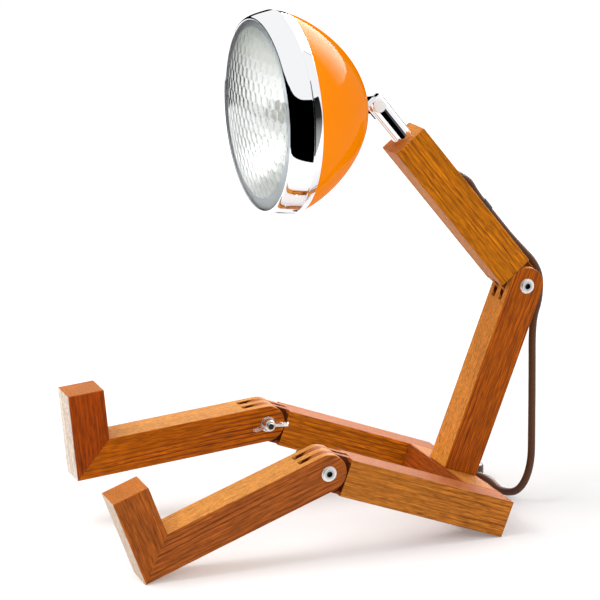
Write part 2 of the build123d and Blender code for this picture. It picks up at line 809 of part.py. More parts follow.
# Plug, with its pins along its own -X
plug_start = -tail_stub - 3 * tail_run
plug_face = plug_start - plug_relief_length - plug_length


def plug_pair(piece):
    """The piece at both pins."""
    return [Pos(plug_face, side * plug_pin_spacing / 2, plug_height / 2) * piece for side in (-1, 1)]


def plug_pins():
    """Each pin stands out of the moulding on a thinner shank."""
    pin = rod_x(plug_pin_radius, -plug_pin_length, 0)
    pin = fillet(pin.edges().group_by(Axis.X)[0], plug_pin_round)
    return plug_pair(pin + rod_x(plug_shank_radius, 0, plug_shank_length))


def plug_body():
    """A flat moulding that narrows to a tapered cord relief."""
    w, r, n = plug_width / 2, plug_rear_width / 2, plug_straight
    outline = Polygon((0, -w), (n, -w), (plug_length, -r), (plug_length, r), (n, w), (0, w), align=None)
    body = extrude(outline, plug_height)
    body = fillet(body.edges().filter_by(Axis.Z).group_by(Axis.X)[1], plug_shoulder_round)
    body = fillet(body.edges().group_by(Axis.Z)[0] + body.edges().group_by(Axis.Z)[-1], plug_round)
    length = plug_relief_length + plug_relief_root
    cone = Cone(plug_relief_radius, cord_radius + plug_relief_wall, length)
    middle = plug_length + plug_relief_length - length / 2
    relief = Pos(middle, 0, plug_height / 2) * Rot(0, 90, 0) * cone
    shank = rod_x(plug_shank_radius + joinery_clearance, 0, plug_shank_length + joinery_clearance)
    return Pos(plug_face, 0, 0) * (body + relief) - Compound(children=plug_pair(shank))


parts = {
    "hip_block": hips * hip_block(),
    "hip_dowels": hips * dowels(),
    "torso_screw": hips * frame_screw(),
    "torso": torso_place * torso(),
    "upper_arm": arm_place * upper_arm(),
    "neck_grub_screw": arm_place * grub_screw(),
    "cord_clip": arm_place * cord_clip(),
    "clip_screws": arm_place * clip_screws(),
    "neck_tube": neck_place * neck_tube(),
    "head_pin": neck_place * head_pin(),
    "head_knuckle": head_place * knuckle(),
    "head_washer": head_place * stud_washer(),
    "head_nut": head_place * stud_nut(),
    "head_bowl": head_place * head_bowl(),
    "head_rim": head_place * head_rim(),
    "head_lens": head_place * head_lens(),
    "lens_gasket": head_place * lens_gasket(),
    "reflector": head_place * reflector(),
    "retaining_ring": head_place * retaining_ring(),
    "lamp_holder": head_place * lamp_holder(),
    "bulb": head_place * bulb(),
}


def hinge(name, place, outward, wings):
    """A bolt with its head on the outward side, and its washer and wing nut."""
    turn = Rot(0, 0, 0) if outward > 0 else Rot(0, 180, 0)
    parts[name + "_bolt"] = place * turn * hinge_bolt()
    parts[name + "_washer"] = place * turn * hinge_washer()
    parts[name + "_wing_nut"] = place * Rot(wings, 0, 0) * turn * wing_nut()


for name, side, pitch, wings in (("left", 1, left_shin_pitch, left_wing_turn),
                                 ("right", -1, right_shin_pitch, right_shin_pitch + wing_turn)):
    parts[name + "_thigh"] = hips * thigh(side)
    knee = Pos(side * leg_x, 0, 0) * limb(knee_y, knee_z, pitch)
    parts[name + "_shin"] = knee * shin()
    parts[name + "_foot"] = knee * foot()
    parts[name + "_heel_key"] = knee * heel_key()
    hinge(name + "_knee", knee, side, wings)
hinge("elbow", torso_place, 1, torso_pitch + wing_turn)

# The origin is on the floor, below the middle of the lamp without its cord
boxes = [piece.bounding_box() for piece in parts.values()]
front, rear = min(b.min.Y for b in boxes), max(b.max.Y for b in boxes)
floor = min(b.min.Z for b in boxes)
to_origin = Pos(0, -(front + rear) / 2, -floor)

parts = {name: to_origin * piece for name, piece in parts.items()}

parts["cord_arm"], parts["cord_bow"], parts["cord_drop"] = cut_tubes(cord_points, 3, 7)
parts["switch_base"] = lead_place * switch_base()
parts["switch_cover"] = lead_place * switch_cover()
parts["switch_rocker"] = lead_place * switch_rocker()
parts["switch_screws"] = Compound(children=[lead_place * screw for screw in switch_screws()])
parts["cord_lead"] = lead_place * cord_lead()
parts["cord_coil"] = cord_coil()
parts["cord_tail"] = tail_place * cord_tail()
parts["plug_body"] = tail_place * plug_body()
parts["plug_pins"] = Compound(children=[tail_place * pin for pin in plug_pins()])

os.makedirs("parts", exist_ok=True)
for name, piece in parts.items():
    export_step(piece, f"parts/{name}.step")

print("origin", (front + rear) / 2, floor, "box", front, rear, max(b.max.Z for b in boxes))
print("knee", knee_y, knee_z, "elbow", elbow_y, elbow_z, "pivot", pivot_y, pivot_z)
print("shin pitch", left_shin_pitch, right_shin_pitch, "arm pitch", arm_pitch)
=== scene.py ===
import bmesh
import bpy
import json
import numpy as np
from math import cos, pi, radians, sin
from mathutils import Matrix, Vector


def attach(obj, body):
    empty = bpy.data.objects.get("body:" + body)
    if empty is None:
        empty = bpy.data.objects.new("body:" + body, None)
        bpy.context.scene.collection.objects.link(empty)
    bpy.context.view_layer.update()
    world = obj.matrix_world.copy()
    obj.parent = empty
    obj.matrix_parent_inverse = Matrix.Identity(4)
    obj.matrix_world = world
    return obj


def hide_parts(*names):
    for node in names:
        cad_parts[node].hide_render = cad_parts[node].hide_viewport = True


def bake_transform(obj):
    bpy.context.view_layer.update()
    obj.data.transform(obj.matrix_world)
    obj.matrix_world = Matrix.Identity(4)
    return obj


# A seated timber desk lamp with a headlamp for a head. Metres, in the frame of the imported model.
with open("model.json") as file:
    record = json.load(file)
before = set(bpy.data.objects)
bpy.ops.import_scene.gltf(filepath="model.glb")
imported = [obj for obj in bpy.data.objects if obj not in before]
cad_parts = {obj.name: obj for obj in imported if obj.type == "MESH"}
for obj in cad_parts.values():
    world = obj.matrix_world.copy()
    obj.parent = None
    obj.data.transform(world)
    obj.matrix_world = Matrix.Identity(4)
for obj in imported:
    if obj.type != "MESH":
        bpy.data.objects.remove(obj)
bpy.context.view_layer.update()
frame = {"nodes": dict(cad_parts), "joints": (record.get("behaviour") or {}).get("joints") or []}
scene = bpy.context.scene
scene.view_settings.view_transform = "Standard"
joints = {joint["name"]: joint for joint in frame["joints"]}
hinges = ("left_knee", "right_knee", "elbow")
mm = 0.001


# The set: a camera, a paper floor, soft light and the surroundings that polished surfaces see
camera = dict(target=(-0.04868, 0.00626, 0.16931), azimuth=69.101, elevation=14.601, distance=1.94736,
              lens=148.115, sensor=36)


def addCamera(values):
    a, e = radians(values["azimuth"]), radians(values["elevation"])
    back = Vector((sin(a) * cos(e), -cos(a) * cos(e), sin(e)))
    data = bpy.data.cameras.new("camera")
    data.lens = values["lens"]
    data.sensor_width = values["sensor"]
    obj = bpy.data.objects.new("camera", data)
    obj.location = Vector(values["target"]) + back * values["distance"]
    obj.rotation_mode = "QUATERNION"
    obj.rotation_quaternion = (-back).to_track_quat("-Z", "Y")
    scene.collection.objects.link(obj)
    scene.camera = obj


addCamera(camera)


class Finish:
    # a material under construction: nodes are added by kind, and sockets take a number, a colour or a link
    def __init__(self, name):
        self.material = bpy.data.materials.new(name)
        self.material.use_nodes = True
        self.tree = self.material.node_tree
        self.shader = self.tree.nodes["Principled BSDF"]

    def add(self, kind, sockets=None, **settings):
        node = self.tree.nodes.new("ShaderNode" + kind)
        for key, value in settings.items():
            setattr(node, key, value)
        self.set(node, sockets or {})
        return node

    def set(self, node, sockets):
        for key, value in sockets.items():
            if isinstance(value, bpy.types.NodeSocket):
                self.tree.links.new(value, node.inputs[key])
            else:
                node.inputs[key].default_value = value

    def surface(self, **sockets):
        self.set(self.shader, {key.replace("_", " "): value for key, value in sockets.items()})

    def coordinates(self, origin=(0, 0, 0), turn=(0, 0, 0)):
        # metres from a piece's own origin, along its own turned axes
        source = self.add("TexCoord").outputs["Object"]
        return self.add("Mapping", {"Vector": source, "Location": origin, "Rotation": turn},
                        vector_type="TEXTURE").outputs[0]

    def stretched(self, vector, stretch, shift=(0, 0, 0)):
        return self.add("Mapping", {"Vector": vector, "Scale": stretch, "Location": shift}).outputs[0]

    def axes(self, vector):
        return self.add("SeparateXYZ", {"Vector": vector}).outputs

    def length(self, vector):
        return self.add("VectorMath", {0: vector}, operation="LENGTH").outputs["Value"]

    def fromLine(self, vector, first, second):
        # the distance from a line through the origin, by the two axes that cross the line
        split = self.axes(vector)
        return self.length(self.add("CombineXYZ", {first: split[first], second: split[second]}).outputs[0])

    def noise(self, vector, scale, detail=3.0, rough=0.5):
        return self.add("TexNoise", {"Vector": vector, "Scale": scale, "Detail": detail,
                                     "Roughness": rough}).outputs["Fac"]

    def ramp(self, factor, stops):
        node = self.add("ValToRGB", {"Fac": factor})
        elements = node.color_ramp.elements
        for place, colour in stops[len(elements):]:
            elements.new(place)
        for element, (place, colour) in zip(elements, stops):
            element.position = place
            element.color = (*colour, 1)
        return node.outputs["Color"]

    def level(self, factor, low, high, start=0.0, end=1.0):
        # low where the factor is at the start, high where it is at the end, and held outside them
        return self.add("MapRange", {"Value": factor, "From Min": start, "From Max": end, "To Min": low,
                                     "To Max": high}).outputs[0]

    def maths(self, operation, *values):
        return self.add("Math", dict(enumerate(values)), operation=operation).outputs[0]

    def product(self, first, *others):
        for other in others:
            first = self.maths("MULTIPLY", first, other)
        return first

    def between(self, factor, a, b):
        # for numbers, a Mix node's sockets are 0, 2 and 3
        return self.add("Mix", {0: factor, 2: a, 3: b}).outputs[0]

    def mix(self, factor, a, b, blend="MIX"):
        # for colours, a Mix node's sockets are 0, 6 and 7
        node = self.add("Mix", data_type="RGBA", blend_type=blend)
        a, b = [value if isinstance(value, bpy.types.NodeSocket) else (*value, 1) for value in (a, b)]
        self.set(node, {0: factor, 6: a, 7: b})
        return node.outputs[2]

    def grey(self, value):
        return self.add("CombineColor", {0: value, 1: value, 2: value}).outputs[0]

    def bump(self, height, distance, strength=1.0):
        self.surface(Normal=self.add("Bump", {"Height": height, "Distance": distance,
                                              "Strength": strength}).outputs[0])


def finishAll(finish, *pieces):
    for piece in pieces:
        obj = frame["nodes"][piece] if isinstance(piece, str) else piece
        obj.data.materials.clear()
        obj.data.materials.append(finish.material)


def seenDirectly(tree):
    # 1 for what the camera, a mirror or a glass sees, and 0 for what lights the object
    path = tree.nodes.new("ShaderNodeLightPath")
    value = path.outputs["Is Camera Ray"]
    for name in ("Is Glossy Ray", "Is Transmission Ray"):
        most = tree.nodes.new("ShaderNodeMath")
        most.operation = "MAXIMUM"
        tree.links.new(value, most.inputs[0])
        tree.links.new(path.outputs[name], most.inputs[1])
        value = most.outputs[0]
    return value


# The floor's own light goes from one floorLift to the other as its distance goes from liftFrom to liftTo.
studio = dict(worldLight=0.68,
              floorSize=6.0, floorColour=0.8, floorLift=(0.2, 0.62), liftFrom=0.3, liftTo=1.1,
              keyPlace=(-0.1, -1.0, 1.6), keySize=1.3, keyPower=20,
              fillPlace=(1.6, 0.2, 1.2), fillSize=1.2, fillPower=9)


def addWorld(values):
    world = scene.world or bpy.data.worlds.new("world")
    scene.world = world
    world.use_nodes = True
    tree = world.node_tree
    background = tree.nodes["Background"]
    background.inputs["Color"].default_value = (1, 1, 1, 1)
    strength = tree.nodes.new("ShaderNodeMapRange")
    strength.inputs["To Min"].default_value = values["worldLight"]
    strength.inputs["To Max"].default_value = 1.0
    tree.links.new(seenDirectly(tree), strength.inputs["Value"])
    tree.links.new(strength.outputs[0], background.inputs["Strength"])


def sheetObject(name, corners, faces=None):
    mesh = bpy.data.meshes.new(name)
    mesh.from_pydata(corners, [], faces or [tuple(range(len(corners)))])
    obj = bpy.data.objects.new(name, mesh)
    scene.collection.objects.link(obj)
    return obj


def addFloor(values):
    half = values["floorSize"] / 2
    floor = sheetObject("floor", [(-half, -half, 0), (half, -half, 0), (half, half, 0), (-half, half, 0)])
    finish = Finish("floorPaper")
    tone = values["floorColour"]
    finish.surface(Base_Color=(tone, tone, tone, 1), Roughness=0.9, Specular_IOR_Level=0.0,
                   Emission_Color=(1, 1, 1, 1))
    away = finish.length(finish.coordinates())
    lift = finish.level(away, *values["floorLift"], values["liftFrom"], values["liftTo"])
    finish.surface(Emission_Strength=finish.product(seenDirectly(finish.tree), lift))
    floor.data.materials.append(finish.material)


def addLamp(name, place, size, power):
    # a round soft lamp that faces what the camera looks at, and that polished surfaces don't see
    data = bpy.data.lights.new(name, "AREA")
    data.shape = "DISK"
    data.size = size
    data.energy = power
    obj = bpy.data.objects.new(name, data)
    obj.location = place
    obj.rotation_mode = "QUATERNION"
    obj.rotation_quaternion = (Vector(place) - Vector(camera["target"])).to_track_quat("Z", "Y")
    obj.visible_glossy = False
    scene.collection.objects.link(obj)


# A dark wall on all sides but the back, and a bright screen there: only polished surfaces see them.
# The outline gives azimuth in degrees, distance of the wall's foot from the middle, and height of its top.
# The rows are shares of the way up. Their glow grows from none to all between the azimuths of glowFrom.
darkWall = dict(middle=(0.0, -0.17), radius=3.2, floorGap=0.002, steps=120,
                rows=(0.0, 0.26, 1.0), rowGlow=(0.6, 0.03, 0.0), glowFrom=(40, 46),
                outline=[(-232, 1.4, 1.02), (-201, 1.5, 1.05), (-185, 1.8, 1.1), (-166, 1.8, 1.43),
                         (-139, 1.1, 1.43), (-100, 0.7, 1.8), (-68, 0.485, 2.6), (-37, 0.44, 2.6),
                         (-20, 0.41, 2.1), (-5, 0.405, 1.7), (24, 0.40, 1.45), (40, 0.44, 1.43),
                         (54, 0.5, 1.43)])
brightScreen = dict(corners=[(0.1, 1.6, 0.75), (-0.8, 1.5, 0.75), (-2.6, 1.2, 1.0),
                             (0.1, 1.6, 3.0), (-0.8, 1.5, 3.0), (-2.6, 1.2, 3.0)],
                    faces=[(0, 1, 4, 3), (1, 2, 5, 4)], glow=[0.0, 1.0, 1.0, 0.0, 1.0, 1.0], strength=20.0)


def addReflected(name, corners, faces, glow, strength):
    # the light of the sheet is its strength times the glow at each corner
    sheet = sheetObject(name, corners, faces)
    sheet.visible_camera = False
    sheet.visible_diffuse = False
    sheet.visible_shadow = False
    sheet.visible_transmission = False
    sheet.data.attributes.new("glow", "FLOAT", "POINT").data.foreach_set("value", glow)
    finish = Finish(name)
    share = finish.add("Attribute", attribute_name="glow").outputs["Fac"]
    finish.surface(Base_Color=(0, 0, 0, 1), Roughness=1.0, Specular_IOR_Level=0.0,
                   Emission_Color=(1, 1, 1, 1), Emission_Strength=finish.product(share, strength))
    sheet.data.materials.append(finish.material)


def gridFaces(rows, columns, closeRows=False, closeColumns=False):
    # a face between each four neighbours of a grid, which may join its last row or column to its first
    index = np.arange(rows * columns).reshape(rows, columns)
    if closeRows:
        index = np.vstack([index, index[:1]])
    if closeColumns:
        index = np.hstack([index, index[:, :1]])
    faces = [index[:-1, :-1], index[:-1, 1:], index[1:, 1:], index[1:, :-1]]
    return np.stack(faces, axis=-1).reshape(-1, 4)


def addWall(values):
    # straight lines from the foot, at the outline's distance, to the top, at the outline's height and one
    # radius from the middle, with a corner at each row's share of the way
    known, distances, heights = np.array(values["outline"]).T
    azimuth = np.linspace(known[0], known[-1], values["steps"])
    distance, height = np.interp(azimuth, known, distances), np.interp(azimuth, known, heights)
    ahead = np.stack([np.cos(np.radians(azimuth)), np.sin(np.radians(azimuth)), 0 * azimuth], axis=1)
    middle = np.array([*values["middle"], 0])
    upward = np.array([0, 0, 1.0])
    foot = middle + ahead * distance[:, None] + upward * values["floorGap"]
    top = middle + ahead * values["radius"] + upward * height[:, None]
    corners = foot + (top - foot) * np.array(values["rows"])[:, None, None]
    start, end = values["glowFrom"]
    glow = np.array(values["rowGlow"])[:, None] * np.clip((azimuth - start) / (end - start), 0, 1)
    faces = gridFaces(len(corners), len(azimuth))
    addReflected("darkWall", corners.reshape(-1, 3).tolist(), faces.tolist(), glow.ravel().tolist(), 1.0)


addWorld(studio)
addFloor(studio)
addLamp("keyLamp", studio["keyPlace"], studio["keySize"], studio["keyPower"])
addLamp("fillLamp", studio["fillPlace"], studio["fillSize"], studio["fillPower"])
addWall(darkWall)
addReflected("brightScreen", **brightScreen)
print("set made")


def surfacePiece(name, body, corners, closeRows=False, sharp=35):
    # a grid of corners, closed round its columns, becomes one smooth mesh with its seams and poles merged
    rows, columns = corners.shape[:2]
    faces = gridFaces(rows, columns, closeRows, closeColumns=True)
    mesh = bpy.data.meshes.new(name)
    mesh.from_pydata(corners.reshape(-1, 3).tolist(), [], faces.tolist())
    work = bmesh.new()
    work.from_mesh(mesh)
    bmesh.ops.remove_doubles(work, verts=work.verts, dist=1e-6)
    bmesh.ops.recalc_face_normals(work, faces=work.faces)
    work.to_mesh(mesh)
    work.free()
    mesh.shade_smooth()
    mesh.set_sharp_from_angle(angle=radians(sharp))
    obj = bpy.data.objects.new(name, mesh)
    scene.collection.objects.link(obj)
    if body:
        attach(obj, body)
    return obj


def roundedLine(points, radii, steps=6, mostOfRun=0.48):
    # straight runs, with each corner a parabola's arc that is tangent to the runs beside it
    points = np.array(points, float)
    line = [points[:1]]
    for before, corner, after, radius in zip(points, points[1:], points[2:], radii):
        a = (before - corner) / np.linalg.norm(before - corner)
        b = (after - corner) / np.linalg.norm(after - corner)
        half = np.arccos(np.clip(a @ b, -1, 1)) / 2
        shortest = min(np.linalg.norm(before - corner), np.linalg.norm(after - corner))
        reach = min(radius / np.tan(half), mostOfRun * shortest)
        t = np.linspace(0, 1, steps)[:, None]
        line.append(corner + a * reach * (1 - t) ** 2 + b * reach * t ** 2)
    line.append(points[-1:])
    return np.vstack(line)


# The headlamp: profiles of (radius, depth) in millimetres, turned about the beam
head = dict(droop=1.2, reach=96.8, opening=71.2, steps=256)
headPivot = np.array(joints["head_tilt"]["pos_m"])


def headPlace(x, y, z):
    # from the head's own frame, with the beam along -Y, to the row frame
    a = radians(head["droop"])
    place = np.stack([x, y * cos(a) - z * sin(a), y * sin(a) + z * cos(a)], axis=-1)
    return place * mm + headPivot


def turned(profile):
    # radius and depth are carried round a full circle: x = r cos t, z = r sin t
    turn = np.linspace(0, 2 * pi, head["steps"], endpoint=False)
    radius, depth = np.array(profile).T
    x = radius[:, None] * np.cos(turn)
    z = radius[:, None] * np.sin(turn)
    y = np.repeat((depth - head["reach"])[:, None], len(turn), axis=1)
    return headPlace(x, y, z)


bowl = dict(radius=75.3, start=24.3, depth=61.4, fullness=1.28, wall=1.2, lip=6.0, lipRadius=74.7, hole=4.05,
            steps=72)


def bowlCurve(radius, depth, start, stop):
    # (r / radius) ** 2 + (s / depth) ** fullness = 1, followed by an angle
    angle = np.linspace(start, stop, bowl["steps"])
    height = depth * np.sin(angle) ** (2 / bowl["fullness"])
    return np.stack([radius * np.cos(angle), bowl["start"] + height], axis=1)


def makeBowl():
    # out along the outer curve to the stud's hole, back along the inner one, and round the lip inside the rim
    wall, lipRadius, start = bowl["wall"], bowl["lipRadius"], bowl["start"]
    front = start - bowl["lip"]
    stop = np.arccos(bowl["hole"] / bowl["radius"])
    outer = bowlCurve(bowl["radius"], bowl["depth"], 0, stop)
    stopInside = np.arccos(bowl["hole"] / (bowl["radius"] - wall))
    inner = bowlCurve(bowl["radius"] - wall, bowl["depth"] - wall, stopInside, 0)
    lip = [(lipRadius - wall, start), (lipRadius - wall, front), (lipRadius, front), (lipRadius, start)]
    piece = surfacePiece("bowl", "head", turned(np.vstack([outer, inner, lip])), closeRows=True)
    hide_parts("head_bowl")
    return piece


rim = dict(nose=71.9, radius=77.7, crest=16.4, fullness=0.5, bandSteps=40, groove=0.8, grooveWidth=1.4,
           shoulder=77.35, rearRadius=75.8, rear=24.3, wall=1.0, lipDepth=0.2, noseStep=0.1, noseLead=0.05,
           grooveRound=0.25, edgeRound=0.3, lipRound=0.5, backGap=0.4, insideGap=0.6)


def makeRim():
    # the front band swells as a power of its depth; a groove parts it from the tapered rear band
    radius, crest, wall = rim["radius"], rim["crest"], rim["wall"]
    depth = np.linspace(0, 1, rim["bandSteps"]) ** 2 * crest
    band = rim["nose"] + (radius - rim["nose"]) * (depth / crest) ** rim["fullness"]
    front = np.stack([band, depth], axis=1)
    valley, shoulderDepth = crest + rim["grooveWidth"] / 2, crest + rim["grooveWidth"]
    backPoints = [(radius, crest), (radius - rim["groove"], valley), (rim["shoulder"], shoulderDepth),
                  (rim["rearRadius"], rim["rear"]), (rim["rearRadius"] - wall, rim["rear"]),
                  (rim["shoulder"] - wall, shoulderDepth), (radius - rim["groove"] - wall, valley),
                  (radius - wall, crest - rim["backGap"])]
    back = roundedLine(backPoints, [rim["grooveRound"]] + 5 * [rim["edgeRound"]])
    inside = front[::-1] - np.array([[wall, 0]])
    inside = inside[(inside[:, 1] > wall) & (inside[:, 1] < crest - rim["insideGap"])]
    opening = head["opening"]
    lipPoints = [(opening + wall, wall), (opening, wall), (opening, rim["lipDepth"]),
                 (rim["nose"] - rim["noseStep"], -rim["noseLead"])]
    lip = roundedLine(lipPoints, [rim["edgeRound"], rim["lipRound"]])
    piece = surfacePiece("rim", "head", turned(np.vstack([front, back, inside, lip])), closeRows=True)
    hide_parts("head_rim")
    return piece


# The cushions get flatter above and below, from plainFrom to plainTo, and end at cellsEnd.
lens = dict(edge=72.2, front=1.05, back=4.55, rise=6.5, dish=69.0, clearance=0.3,
            cellWidth=10.0, cellHeight=7.7, cellReach=(0.62, 0.72), cellDepth=0.48, cellMean=0.4,
            cellsEnd=64.0, fadeWidth=1.5, plainFrom=26.0, plainTo=50.0, leastDepth=0.25,
            radialSteps=120, outerSteps=30, steps=560)


def domeDepth(radius, edgeRadius, edge, top):
    # a parabola from the edge to the pole
    return top + (edge - top) * (radius / edgeRadius) ** 2


def cellSwell(x, z):
    # staggered rows of cushions: 1 at the middle of a cell, and less by the square of the distance from it
    width, height = lens["cellWidth"], lens["cellHeight"]
    reachAcross, reachUp = lens["cellReach"]
    swell = np.full(x.shape, -np.inf)
    row = np.round(z / height)
    for step in (-1, 0, 1):
        line = row + step
        shift = (line % 2) * 0.5
        column = np.round(x / width - shift)
        near = ((x / width - shift - column) / reachAcross) ** 2 + ((z / height - line) / reachUp) ** 2
        swell = np.maximum(swell, 1 - near)
    return swell


def makeLens():
    # inside: a dome with cushions on it, which fade out towards a plain border; outside: a plain dome
    turn = np.linspace(0, 2 * pi, lens["steps"], endpoint=False)
    ring = np.linspace(0, 1, lens["radialSteps"])[:, None] * lens["dish"]
    x, z = ring * np.cos(turn), ring * np.sin(turn)
    thickness = lens["back"] - lens["front"]
    inner = domeDepth(ring, lens["dish"], lens["back"], thickness - lens["rise"]) + 0 * x
    fade = np.clip((lens["cellsEnd"] - ring) / lens["fadeWidth"], 0, 1)
    high = np.clip((np.abs(z) - lens["plainFrom"]) / (lens["plainTo"] - lens["plainFrom"]), 0, 1)
    strength = 1 - (1 - lens["leastDepth"]) * high
    inner = inner + lens["cellDepth"] * fade * strength * (cellSwell(x, z) - lens["cellMean"])
    outerRadius = head["opening"] - lens["clearance"]
    outerRing = np.linspace(0, 1, lens["outerSteps"])[::-1, None] * outerRadius
    outer = domeDepth(outerRing, outerRadius, lens["front"], -lens["rise"]) + 0 * turn
    edge = np.array([[lens["edge"]], [lens["edge"]]]) + 0 * turn
    edgeDepth = np.array([[lens["back"]], [lens["front"]]]) + 0 * turn
    radius = np.vstack([ring + 0 * turn, edge, outerRing + 0 * turn])
    depth = np.vstack([inner, edgeDepth, outer])
    corners = headPlace(radius * np.cos(turn), depth - head["reach"], radius * np.sin(turn))
    piece = surfacePiece("lens", "head", corners, sharp=60)
    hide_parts("head_lens")
    return piece


dish = dict(focus=26.0, radius=69.0, throat=13.0, front=6.05, flange=73.5, flangeWall=0.9, wall=1.2, steps=60)


def makeDish():
    # a paraboloid, depth = pole - r * r / (4 * focus), with a flat flange
    radius = np.linspace(dish["throat"], dish["radius"], dish["steps"])
    pole = dish["front"] + dish["radius"] ** 2 / (4 * dish["focus"])
    depth = pole - radius ** 2 / (4 * dish["focus"])
    inner = np.stack([radius, depth], axis=1)
    outer = np.stack([radius, depth + dish["wall"]], axis=1)[::-1]
    flange = [(dish["flange"], dish["front"]), (dish["flange"], dish["front"] + dish["flangeWall"])]
    piece = surfacePiece("dish", "head", turned(np.vstack([inner, flange, outer])), closeRows=True)
    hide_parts("reflector")
    return piece


parts = dict(bowl=makeBowl(), rim=makeRim(), lens=makeLens(), dish=makeDish())
print("headlamp made")


# The cord: its route's own points, in metres, from inside the arm to the near end of the switch
cordPoints = [
    (0, 0.0929, 0.2831),
    (0, 0.1258, 0.2701),
    (-0.003, 0.1351, 0.2551),
    (-0.003, 0.1538, 0.2325),
    (-0.003, 0.1692, 0.2140),
    (0, 0.1915, 0.1908),
    (0, 0.1922, 0.1657),
    (0.001, 0.1855, 0.148),
    (0.008, 0.1832, 0.1068),
    (0.018, 0.1790, 0.0655),
    (0.025, 0.1760, 0.034),
    (0.015, 0.1710, 0.010),
    (-0.008, 0.1660, 0.003),
    (-0.0297, 0.16558, 0.007),
    (-0.045, 0.1609, 0.007),
]
# After them come points ahead of the switch's near end, and points short of the coil, each with a height.
cord = dict(radius=0.003, length=1.85, heading=17.0, switchLength=0.062, lead=0.052,
            inSwitch=[(0.03, 0.007), (0.07, 0.007)], landing=[(0.026, 0.0048), (0.004, 0.003)],
            exit=(0, 0.1144, 0.2746), bendStart=(0, 0.169, 0.2195), bendEnd=(0, 0.189, 0.148))
# The coil's radii and heights are in millimetres, at the turns above them.
# Its tail gives metres ahead, to the left and up from the coil's middle.
coil = dict(perTurn=16,
            turns=[0, 0.8, 1, 1.8, 2, 2.8, 3, 3.8, 4, 4.4, 4.55, 4.8, 5, 5.4, 5.55, 5.8, 6.064],
            radii=[43, 43, 37, 37, 31, 31, 25, 25, 28, 28, 31, 31, 34, 34, 37, 37, 40],
            heightTurns=[0, 3.5, 3.8, 4, 4.4, 4.55, 4.8, 5, 5.4, 5.55, 5.8, 6.0],
            heights=[3, 3, 9.1, 8.5, 8.5, 9.1, 9.1, 8.5, 8.5, 9.1, 9.1, 9.3],
            tailTurn=23.0,
            tail=[(0.012, -0.040, 0.0093), (0.030, -0.038, 0.0093), (0.046, -0.0345, 0.0085),
                  (0.060, -0.034, 0.007), (0.078, -0.034, 0.007)])


def routePoint(point, heading, ahead, left=0.0, height=0.0):
    # a point ahead of and left of another, on a heading measured from -X towards -Y
    a = radians(heading)
    return (point[0] - ahead * cos(a) + left * sin(a), point[1] - ahead * sin(a) - left * cos(a), height)


def coilPoints(centre):
    # turns about the centre: the radius steps in from turn to turn below, and out again on top
    count = round(coil["turns"][-1] * coil["perTurn"])
    turn = np.arange(1, count) / coil["perTurn"]
    angle = radians(90 + cord["heading"]) + 2 * pi * turn
    radius = np.interp(turn, coil["turns"], coil["radii"]) * mm / cos(pi / coil["perTurn"])
    height = np.interp(turn, coil["heightTurns"], coil["heights"]) * mm
    return np.stack([centre[0] + radius * np.cos(angle), centre[1] + radius * np.sin(angle), height], axis=1)


def cordRoute():
    # the chosen points, through the switch, down to the floor, round the coil, and over it to the plug
    start, heading = cordPoints[-1], cord["heading"]
    lead = cord["switchLength"] + cord["lead"]
    centre = routePoint(routePoint(start, heading, lead), heading, 0, coil["radii"][0] * mm)
    points = list(cordPoints)
    points += [routePoint(start, heading, ahead, 0, height) for ahead, height in cord["inSwitch"]]
    points += [routePoint(start, heading, lead - short, 0, height) for short, height in cord["landing"]]
    points += coilPoints(centre).tolist()
    leave = heading + coil["tailTurn"]
    points += [routePoint(centre, leave, ahead, left, height) for ahead, left, height in coil["tail"]]
    return points, centre


def routeCurve(points):
    # a smooth spline with the points as its control points
    curve = bpy.data.curves.new("route", "CURVE")
    curve.dimensions = "3D"
    spline = curve.splines.new("NURBS")
    spline.points.add(len(points) - 1)
    for place, point in zip(spline.points, points):
        place.co = (*point, 1)
    spline.order_u = 3
    spline.use_endpoint_u = True
    spline.resolution_u = 8
    return curve


def curvePath(curve):
    # the points that Blender works out along a curve
    obj = bpy.data.objects.new("route", curve)
    scene.collection.objects.link(obj)
    evaluated = obj.evaluated_get(bpy.context.evaluated_depsgraph_get())
    mesh = bpy.data.meshes.new_from_object(evaluated)
    path = np.empty(3 * len(mesh.vertices), np.float32)
    mesh.vertices.foreach_get("co", path)
    bpy.data.objects.remove(obj)
    bpy.data.meshes.remove(mesh)
    return path.reshape(-1, 3).astype(float)


def tubeGrid(path, radius, around=14):
    # a circle carried along the path, which turns as little as it can from point to point, with closed ends
    ahead = np.gradient(path, axis=0)
    ahead /= np.linalg.norm(ahead, axis=1)[:, None]
    side = np.zeros_like(ahead)
    side[0] = np.cross(ahead[0], (0, 0, 1.0))
    for index in range(1, len(path)):
        side[index] = side[index - 1] - ahead[index] * (side[index - 1] @ ahead[index])
        side[index] /= np.linalg.norm(side[index])
    side[0] /= np.linalg.norm(side[0])
    up = np.cross(ahead, side)
    turn = np.linspace(0, 2 * pi, around, endpoint=False)[:, None]
    ring = side[:, None] * np.cos(turn) + up[:, None] * np.sin(turn)
    tube = path[:, None] + ring * radius
    ends = [np.repeat(path[:1, None], around, axis=1), tube, np.repeat(path[-1:, None], around, axis=1)]
    return np.concatenate(ends)


def makeCord():
    points, centre = cordRoute()
    path = curvePath(routeCurve(points))
    piece = surfacePiece("cord", None, tubeGrid(path, cord["radius"]), sharp=60)
    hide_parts("cord_arm", "cord_bow", "cord_drop", "cord_lead", "cord_coil", "cord_tail")
    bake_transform(piece)
    return piece, centre


parts["cord"], coilCentre = makeCord()

# The tie, in millimetres: each middle of a run that it holds is (distance from the coil's centre, height).
tie = dict(turn=0.27, middles=[(25, 3), (43, 3), (34, 8.6), (28, 8.6)], radius=3.1, wall=0.9, width=4.5,
           floorGap=0.05, steps=96)


